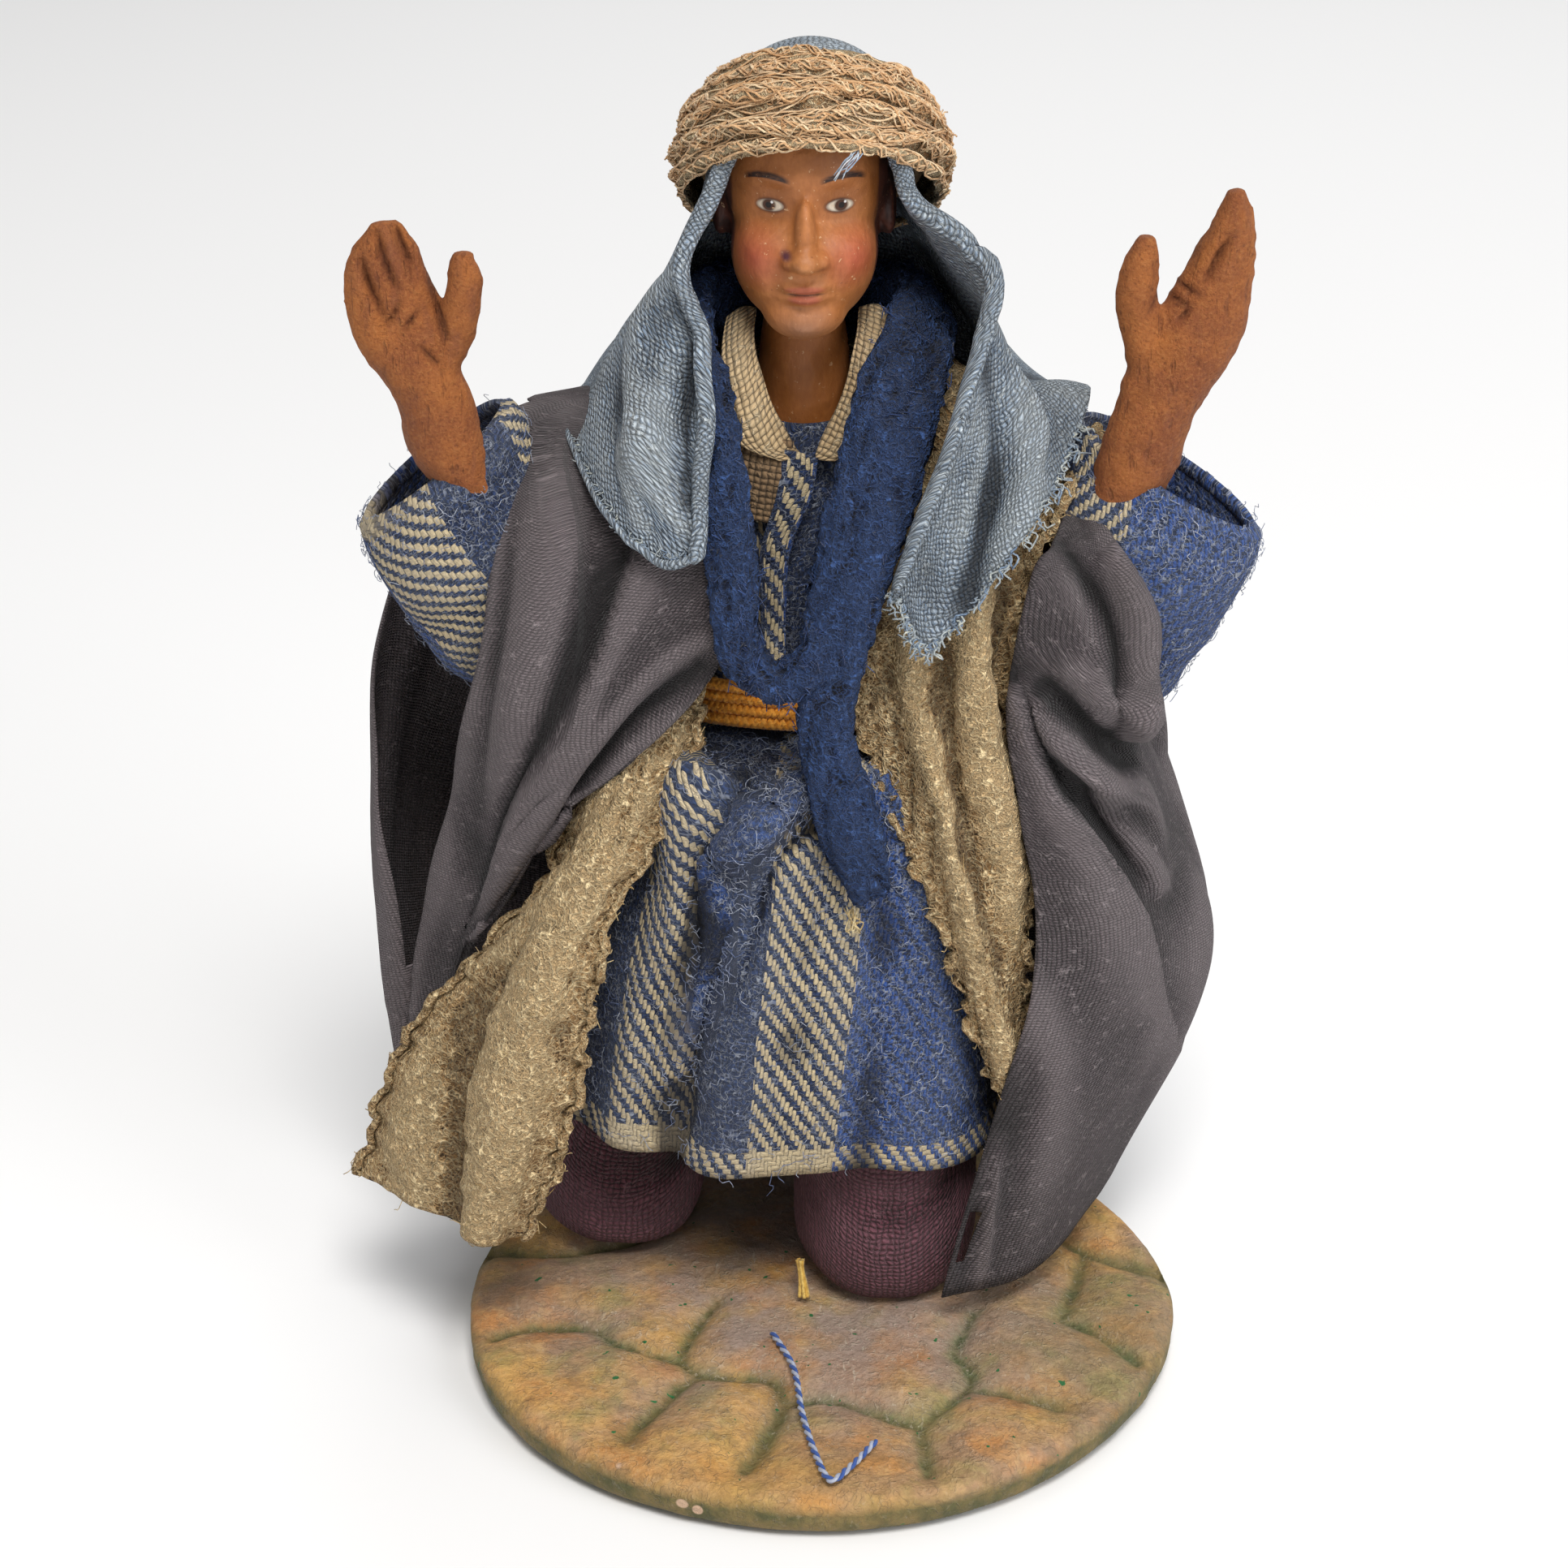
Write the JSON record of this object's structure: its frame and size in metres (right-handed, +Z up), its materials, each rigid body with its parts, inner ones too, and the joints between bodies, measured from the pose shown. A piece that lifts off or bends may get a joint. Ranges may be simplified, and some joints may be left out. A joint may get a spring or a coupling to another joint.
{
  "type": "kneeling presepe figure",
  "caption": "Kneeling nativity-scene figure with raised hands: clay head, hands and stone-paved base, dressed in woven cloth robes, cloak, stole, scarf and wound head cloth.",
  "frame": {"origin": "centre of the base's flat underside, on the surface the figure stands on", "axes": "+Z up, the figure faces -Y, its own left is +X"},
  "size_m": [0.0847, 0.0745, 0.1305],
  "materials": {
    "painted_clay_base": "matte paint over clay",
    "maroon_cloth": "plain weave",
    "tartan_wool": "brushed twill",
    "painted_face": "painted, slightly glossy",
    "terracotta": "matte painted clay",
    "orange_braid": "braided",
    "khaki_gauze": "open gauze with frayed edges",
    "grey_crepe": "crepe",
    "navy_gauze": "crumpled open gauze",
    "blue_linen": "coarse plain weave",
    "cream_gauze": "twisted open gauze",
    "blue_thread": "twisted cotton",
    "yellow_yarn": "loose yarn"
  },
  "bodies": {
    "root": {"base": "painted_clay_base", "leg_right": "maroon_cloth", "leg_left": "maroon_cloth", "tunic": "tartan_wool", "sleeve_right": "tartan_wool", "sleeve_left": "tartan_wool", "head": "painted_face", "hand_right": "terracotta", "hand_left": "terracotta", "sash": "orange_braid", "stole": "khaki_gauze", "cloak": "grey_crepe", "scarf": "navy_gauze", "headscarf": "blue_linen", "headband": "cream_gauze", "thread": "blue_thread", "yarn_tuft": "yellow_yarn"}
  },
  "joints": []
}
